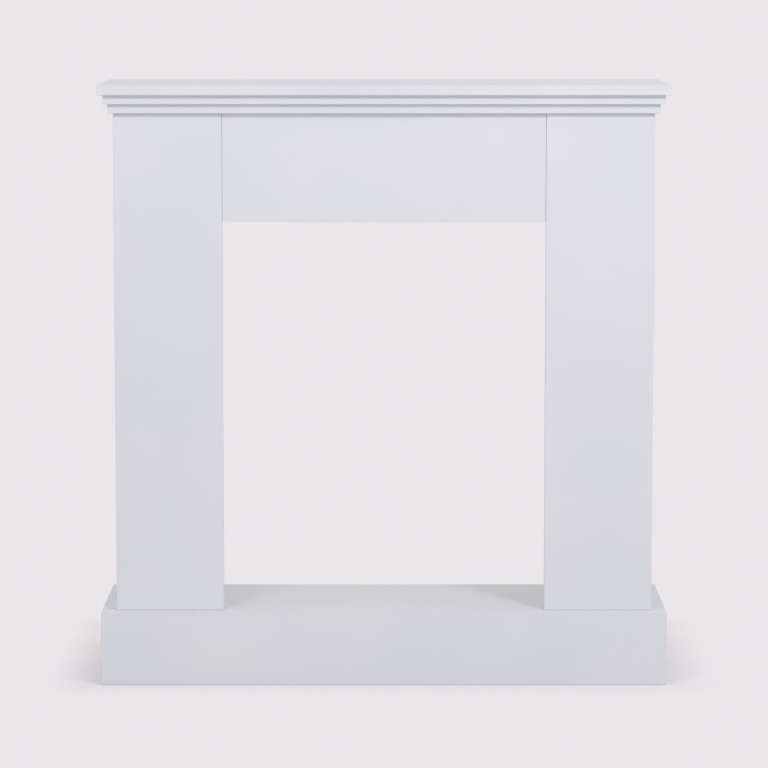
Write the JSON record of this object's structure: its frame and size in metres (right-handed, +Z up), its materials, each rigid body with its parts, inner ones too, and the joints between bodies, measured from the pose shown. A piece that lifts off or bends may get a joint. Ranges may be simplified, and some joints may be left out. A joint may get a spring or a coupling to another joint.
{
  "type": "fireplace mantelpiece",
  "caption": "Free-standing fireplace surround: plain flat legs and header on a hollow plinth, under a stepped cornice and a shelf, with a square opening.",
  "frame": {"origin": "on the floor, at the middle of the plinth's underside", "axes": "+Z up, +X to the right as seen by a person facing the fireplace, -Y towards the room, +Y towards the wall"},
  "size_m": [1, 0.3, 1.06],
  "materials": {
    "white_lacquer": "cool white satin lacquer sprayed on MDF, with a very fine orange peel",
    "primed_back": "thin matt off-white primer on MDF, on the sides that stand against the wall or face inwards"
  },
  "bodies": {
    "root": {"mantel_shelf": "white_lacquer", "upper_step_front": "white_lacquer", "upper_step_left": "white_lacquer", "upper_step_right": "white_lacquer", "lower_step_front": "white_lacquer", "lower_step_left": "white_lacquer", "lower_step_right": "white_lacquer", "header_board": "white_lacquer", "left_leg_front": "white_lacquer", "left_leg_side": "white_lacquer", "right_leg_front": "white_lacquer", "right_leg_side": "white_lacquer", "plinth_top": "white_lacquer", "plinth_front": "white_lacquer", "plinth_left_side": "white_lacquer", "plinth_right_side": "white_lacquer", "plinth_back": "primed_back"}
  },
  "joints": []
}
